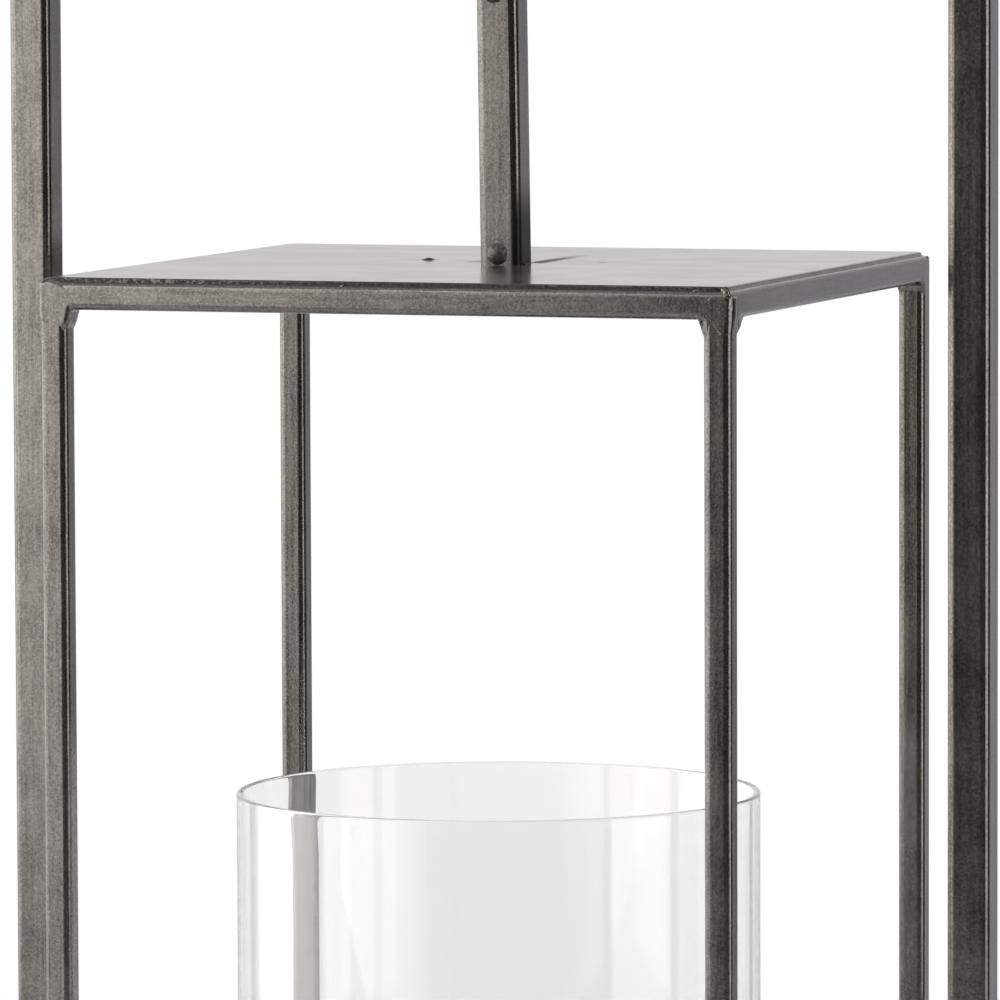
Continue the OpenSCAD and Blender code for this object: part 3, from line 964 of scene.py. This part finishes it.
CREASES = (
    # from x, y to x, y, height, width
    (10.5, 6.0, 13.4, 60.0, 0.26, 1.8),
    (12.5, 30.0, 11.9, 105.0, 0.12, 3.0),
    (-6.5, 6.0, -38.0, 39.0, 0.16, 1.6),
    (14.0, -2.0, 60.0, 22.0, 0.05, 2.2),
)
SPECKS = (
    # x, y, size, height
    (-33.4, 21.6, 2.2, 0.26),
    (35.1, 24.1, 2.0, 0.015),
    (-49.5, 96.6, 1.2, 0.015),
    (22.0, -71.0, 0.6, 0.06),
    (-96.0, -38.0, 0.7, 0.06),
)


def plate_rise(x, y):
    """Height of the sheet's surface over its true plane: slow waves, pulls at the welds and specks."""
    flat = np.stack([x, y, 0 * x], 1)
    rise = 0.022 * ripple(flat, 85.0, 501) + 0.0012 * ripple(flat, 15.0, 502)
    for x1, y1, x2, y2, height, width in CREASES:
        way = np.array([x2 - x1, y2 - y1])
        length = np.linalg.norm(way)
        along = ((x - x1) * way[0] + (y - y1) * way[1]) / length**2
        clear = np.hypot(x - x1 - np.clip(along, 0, 1) * way[0], y - y1 - np.clip(along, 0, 1) * way[1])
        rise += height * np.exp(-((clear / width) ** 2)) * (1 - smooth_step(along, 0.35, 1.0))
    for x1, y1, size, height in SPECKS:
        rise += height * np.exp(-(((x - x1) ** 2 + (y - y1) ** 2) / (size * size)))
    return np.minimum(rise, 0.5)


def add_top_plate(material):
    """The top sheet as a fine grid, so that its slight waves and pulls are in the mesh."""
    edge, corner, roll = PLATE_HIGH[0], GROUND_CORNER, 0.3
    count = 165
    steps = np.linspace(-1, 1, count)
    # closer together near the edge, where the rim rolls over
    steps = edge * np.sign(steps) * (1 - (1 - np.abs(steps)) ** 1.15)
    x, y = (a.ravel() for a in np.meshgrid(steps, steps, indexing="ij"))
    past = np.stack([np.abs(x), np.abs(y)], 1) - (edge - corner)
    over = np.hypot(*np.maximum(past, 0).T)
    pull = np.where((past.min(1) > 0) & (over > corner), corner / np.maximum(over, 1e-9), 1.0)
    past_x, past_y = past.T
    round_x = np.sign(x) * (edge - corner + past_x * np.where(past_y > 0, pull, 1))
    round_y = np.sign(y) * (edge - corner + past_y * np.where(past_x > 0, pull, 1))
    x, y = np.where(past_x > 0, round_x, x), np.where(past_y > 0, round_y, y)
    low_edge = bar(np.stack([x, y, 0 * x], 1), 2, (0, 0), edge, corner)
    drop = roll * smooth_step(low_edge, -roll * 2.2, 0) ** 2
    fade = 1 - smooth_step(low_edge, -6, -1)
    top = np.stack([x, y, PLATE_HIGH[2] + plate_rise(x, y) * fade - drop], 1)
    bottom = np.stack([x, y, PLATE_LOW[2] + 0 * x], 1)
    index = np.arange(count * count).reshape(count, count)
    cells = np.stack([index[:-1, :-1], index[1:, :-1], index[1:, 1:], index[:-1, 1:]], -1).reshape(-1, 4)
    faces = cells.tolist() + (cells[:, ::-1] + count * count).tolist()
    rim = np.concatenate([index[:, 0], index[-1, 1:], index[-2::-1, -1], index[0, -2:0:-1]])
    after = np.roll(rim, -1)
    below = count * count
    faces += np.stack([rim, rim + below, after + below, after], 1).tolist()
    vertices = np.concatenate([top, bottom])
    add_piece("top_plate_sheet", vertices, faces, material, "lantern", ["top_plate"])


# ---- glass, candle and wick ----


def arc(centre, radius, start, end, count):
    """Points on an arc in the (radius, height) plane, angles in degrees."""
    angles = np.radians(np.linspace(start, end, count))
    return [(centre[0] + radius * math.cos(a), centre[1] + radius * math.sin(a)) for a in angles]


def add_glass(material):
    """The blown cylinder: even wall, fire-polished rims a touch thicker than the wall."""
    wall, bulge = 2.0, 0.1
    radius = GLASS_HIGH[0]
    middle = radius - wall / 2
    low, high = GLASS_LOW[2], GLASS_HIGH[2]
    lip = wall / 2
    profile = []
    for z in np.linspace(low + 3 * lip, high - 3 * lip, 24):
        profile.append((radius - bulge, z))
    profile += arc((middle - bulge / 2, high - lip - bulge / 2), lip + bulge / 2, 0, 180, 17)
    for z in np.linspace(high - 3 * lip, low + 3 * lip, 24):
        profile.append((radius - wall, z))
    profile += arc((middle - bulge / 2, low + lip + bulge / 2), lip + bulge / 2, 180, 360, 17)
    vertices, faces = lathe(profile, 320)
    add_piece("glass_wall", vertices, faces, material, "glass", ["glass_cylinder"])


def add_candle(material):
    """A pillar candle with a softened rim and a shallow burned dish."""
    radius = CANDLE_HIGH[0]
    low, high = CANDLE_LOW[2], CANDLE_HIGH[2]
    hollow, foot, rim, dish = 0.8, 1.5, 3.4, 7.6
    profile = [(0.0, low + hollow), (radius - 8, low + hollow), (radius - 6, low), (radius - foot, low)]
    profile += arc((radius - foot, low + foot), foot, -90, 0, 5)
    profile += [(radius, z) for z in np.linspace(low + 4, high - 5, 30)]
    profile += arc((radius - rim, high - rim), rim, 0, 100, 12)
    for share in np.linspace(0.96, 0.06, 16):
        r = (radius - 4) * share
        profile.append((r, high - dish * (1 - share**2.4) - 0.2))
    profile.append((0.0, high - dish - 0.1))
    vertices, faces = lathe(profile, 144, closed=False)
    p = np.array(vertices)
    around = np.hypot(p[:, 0], p[:, 1])
    inward = 0.18 * (1 + ripple(p, 34.0, 601)) + 0.05 * (1 + ripple(p, 9.0, 602))
    shrink = 1 - np.clip(inward, 0, 0.9) / np.maximum(around, 1)
    p[:, :2] *= np.where(around > 2, shrink, 1)[:, None]
    on_top = p[:, 2] > high - 9
    p[:, 2] -= np.where(on_top, 0.12 * (1 + ripple(p, 16.0, 603)), 0)
    add_piece("candle_wax", p, faces, material, "candle", ["candle"])


def add_wick(material):
    """Three twisted strands that thin out towards the burned tip."""
    low, high = WICK_LOW[2] + 0.4, WICK_HIGH[2] - 0.5
    rings, sides = 64, 10
    strand, twist, turns = 0.58, 0.6, 4.5
    vertices, faces = [], []
    for k in range(3):
        start = len(vertices)
        for i in range(rings):
            share = i / (rings - 1)
            z = low + (high - low) * share
            turn = 2 * math.pi * (k / 3 + share * turns)
            thick = strand * (1 - 0.35 * share**6)
            x, y = twist * thick / strand * math.cos(turn), twist * thick / strand * math.sin(turn)
            for j in range(sides):
                a = 2 * math.pi * j / sides
                vertices.append((x + thick * math.cos(a), y + thick * math.sin(a), z))
        for i in range(rings - 1):
            for j in range(sides):
                m = (j + 1) % sides
                a, b = start + i * sides, start + (i + 1) * sides
                faces.append([a + j, a + m, b + m, b + j])
        faces.append([start + j for j in reversed(range(sides))])
        faces.append([start + (rings - 1) * sides + j for j in range(sides)])
    add_piece("wick_strands", vertices, faces, material, "candle", ["wick"])


# ---- everything together ----


def paint_nodes():
    """Gives every CAD node its finish, and returns the finishes by name for the added pieces."""
    finishes = {
        "upright_hoop": bronze("hoop_upright", UPRIGHT),
        "level_hoop": bronze("hoop_level", ALONG_X),
        "hanger": bronze("hanger_upright", UPRIGHT, painted_shade=HANGER_PAINTED_SHADE),
        "upright_cage": bronze("cage_upright", UPRIGHT),
        "cage_x": bronze("cage_along_x", ALONG_X),
        "cage_y": bronze("cage_along_y", ALONG_Y),
        "plate": plate_finish("top_sheet", HEAT_MARKS),
        "base": plate_finish("base_sheet", ()),
        "weld": weld_finish(),
        "rivet": rivet_finish(),
        "glide": glide_finish(),
        "glass": glass_finish(),
        "wax": wax_finish(),
        "wick": wick_finish(),
    }
    # the first of these parts of names that a node's name holds tells its finish
    chosen = (
        ("plate_plug", "weld"), ("welds", "weld"), ("fillets", "weld"),
        ("hoop_post", "upright_hoop"), ("hoop_top", "level_hoop"), ("hoop_bottom", "level_hoop"),
        ("hanger_tube", "hanger"), ("cage_post", "upright_cage"), ("block", "upright_cage"),
        ("rail_front", "cage_x"), ("rail_back", "cage_x"),
        ("rail_left", "cage_y"), ("rail_right", "cage_y"),
        ("top_plate", "plate"), ("base_plate", "base"), ("tabs", "base"),
        ("rivet", "rivet"), ("glides", "glide"),
        ("glass", "glass"), ("candle", "wax"), ("wick", "wick"),
    )
    for name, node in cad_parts.items():
        finish = next(finish for part, finish in chosen if part in name)
        for place in node.material_slots:
            place.material = finishes[finish]
    return finishes


add_camera()
add_world()
add_floor()
for softbox in SOFTBOXES:
    add_softbox(*softbox)
finish = paint_nodes()
add_top_corners(finish["upright_cage"])
add_base_corners(finish["upright_cage"])
add_seams(finish["weld"], finish["cage_x"], finish["cage_y"])
add_spatter(finish["level_hoop"])
add_foot_tacks(finish["weld"])
add_plug_welds(finish["weld"], finish["plate"])
add_rivets(finish["rivet"])
add_top_plate(finish["plate"])
add_glass(finish["glass"])
add_candle(finish["wax"])
add_wick(finish["wick"])

bpy.context.scene.view_settings.view_transform = "Standard"
